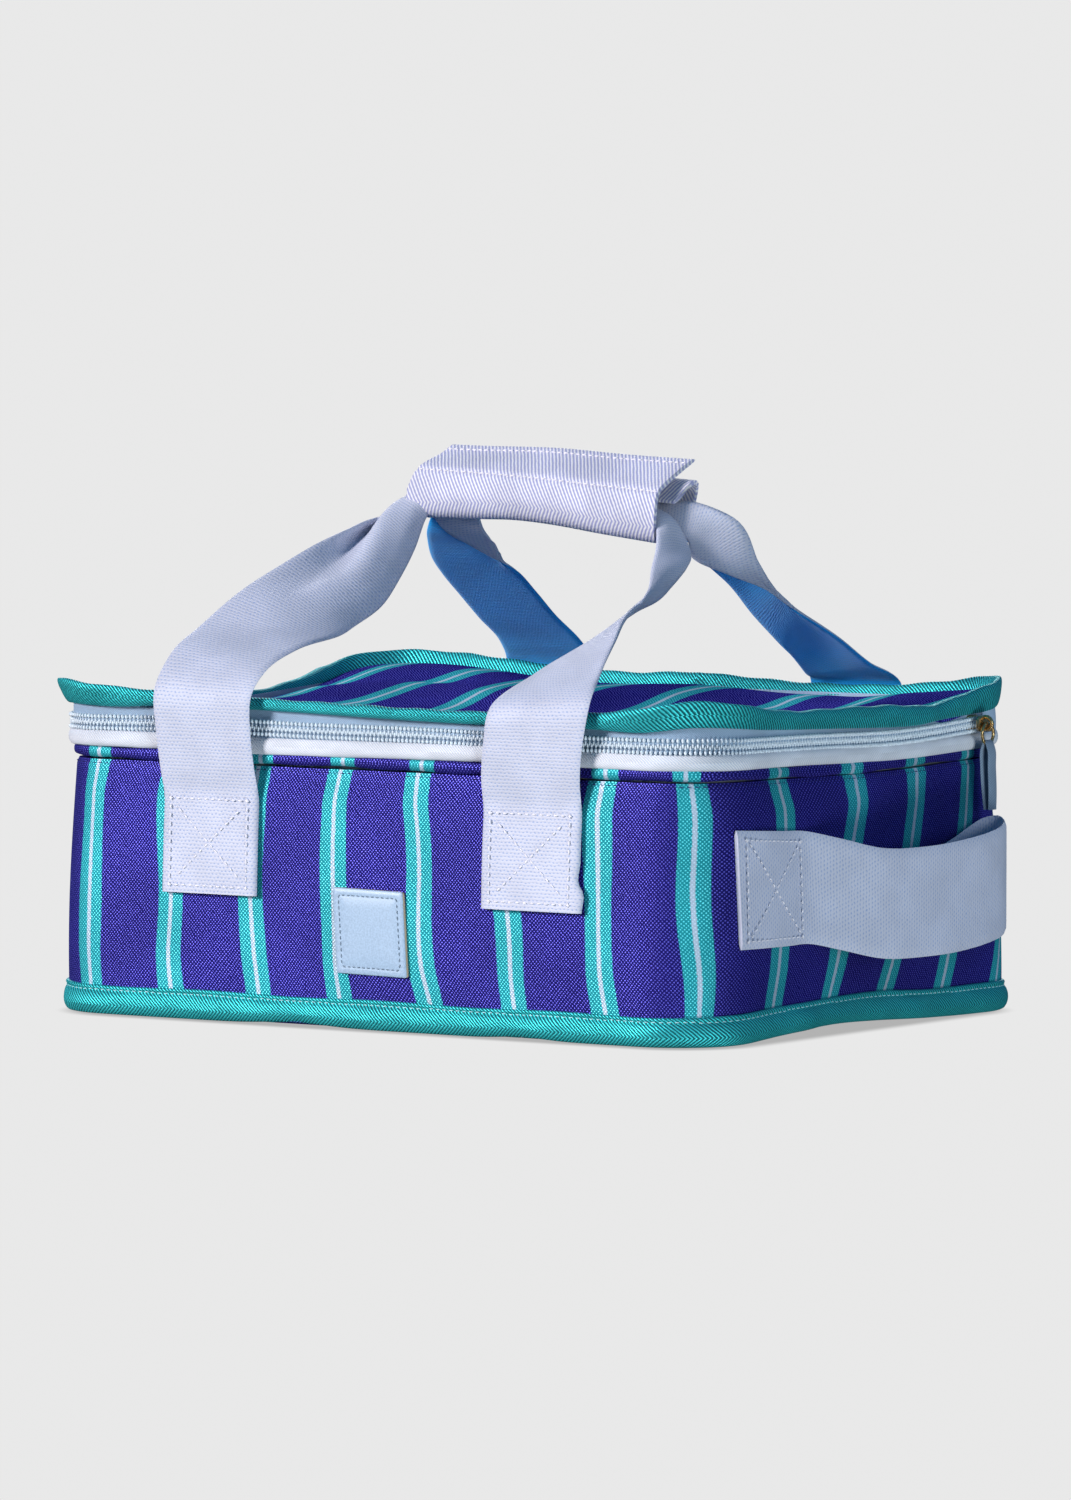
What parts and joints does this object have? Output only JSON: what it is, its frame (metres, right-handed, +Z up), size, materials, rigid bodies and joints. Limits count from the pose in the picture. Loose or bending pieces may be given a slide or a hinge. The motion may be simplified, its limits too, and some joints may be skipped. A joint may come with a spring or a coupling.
{
  "type": "lunch bag",
  "caption": "Soft insulated box-shaped lunch bag with a zipped hinged lid, two webbing handles joined by a wrap grip, and a webbing side handle.",
  "frame": {"origin": "centre of the base on the surface it stands on", "axes": "+Z up, +X along the long side towards the side handle, -Y the front with the patch"},
  "size_m": [0.2874, 0.2076, 0.1827],
  "materials": {
    "wall_cloth": "coarse plain-weave cloth, purple with teal and pale stripes",
    "binding_tape": "herringbone binding tape, teal",
    "webbing": "ribbed cotton webbing, pale blue",
    "grip_cloth": "twill, lavender",
    "zip_tape": "woven zip tape, near white",
    "zip_coil": "moulded coil, pale blue",
    "patch_leather": "pale blue faux leather",
    "fastener_tape": "hook and loop tape",
    "foam": "closed-cell foam sheet",
    "liner_film": "wipe-clean foil-faced film",
    "brass": "polished brass"
  },
  "bodies": {
    "bag": {"base_panel": "wall_cloth", "base_binding": "binding_tape", "outer_wall": "wall_cloth", "wall_foam": "foam", "base_foam": "foam", "liner_tub": "liner_film", "wall_hem": "wall_cloth", "lower_zip_band": "zip_tape", "lower_zip_tape": "zip_tape", "lower_zip_coil": "zip_coil", "rear_hinge_strip": "zip_tape", "zip_stop_left": "brass", "zip_stop_right": "brass", "front_left_tab": "webbing", "front_right_tab": "webbing", "rear_left_tab": "webbing", "rear_right_tab": "webbing", "side_handle": "webbing", "label_patch": "patch_leather"},
    "lid": {"upper_zip_tape": "zip_tape", "upper_zip_coil": "zip_coil", "lid_binding": "binding_tape", "lid_liner": "liner_film", "lid_foam": "foam", "lid_panel": "wall_cloth"},
    "front_handle": {"front_strap": "webbing", "grip_front": "grip_cloth"},
    "rear_handle": {"rear_strap": "webbing", "grip_rear": "grip_cloth", "loop_tape": "fastener_tape"},
    "grip_flap": {"grip_flap": "grip_cloth", "hook_tape": "fastener_tape"},
    "zip_slider": {"zip_slider": "brass"},
    "zip_pull": {"pull_ring": "brass", "pull_strap": "patch_leather"}
  },
  "joints": [
    {"name": "lid_open", "type": "hinge", "parent": "bag", "child": "lid", "pos_m": [0, 0.1008, 0.097], "axis": [-1, 0, 0], "range_deg": [0, 110], "deforming": ["front_strap"]},
    {"name": "front_handle_swing", "type": "hinge", "parent": "bag", "child": "front_handle", "pos_m": [0.002, -0.0999, 0.07515], "axis": [1, 0, 0], "range_deg": [0, 150]},
    {"name": "rear_handle_swing", "type": "hinge", "parent": "bag", "child": "rear_handle", "pos_m": [-0.001, 0.0999, 0.07515], "axis": [-1, 0, 0], "range_deg": [0, 150]},
    {"name": "grip_flap_open", "type": "hinge", "parent": "front_handle", "child": "grip_flap", "pos_m": [0.0055, -0.006, 0.17845], "axis": [1, 0, 0], "range_deg": [0, 150]},
    {"name": "zip_slide", "type": "slide", "parent": "bag", "child": "zip_slider", "axis": [0, -1, 0], "range_m": [0, 0.128]},
    {"name": "zip_pull_swing", "type": "hinge", "parent": "zip_slider", "child": "zip_pull", "pos_m": [0.1366, 0.0642, 0.0964], "axis": [0, -1, 0], "range_deg": [0, 120]}
  ],
  "couplings": [
    {"joint": "front_handle_swing", "follows": "lid_open", "ratio": 1.36},
    {"joint": "rear_handle_swing", "follows": "lid_open", "ratio": 1.36}
  ]
}
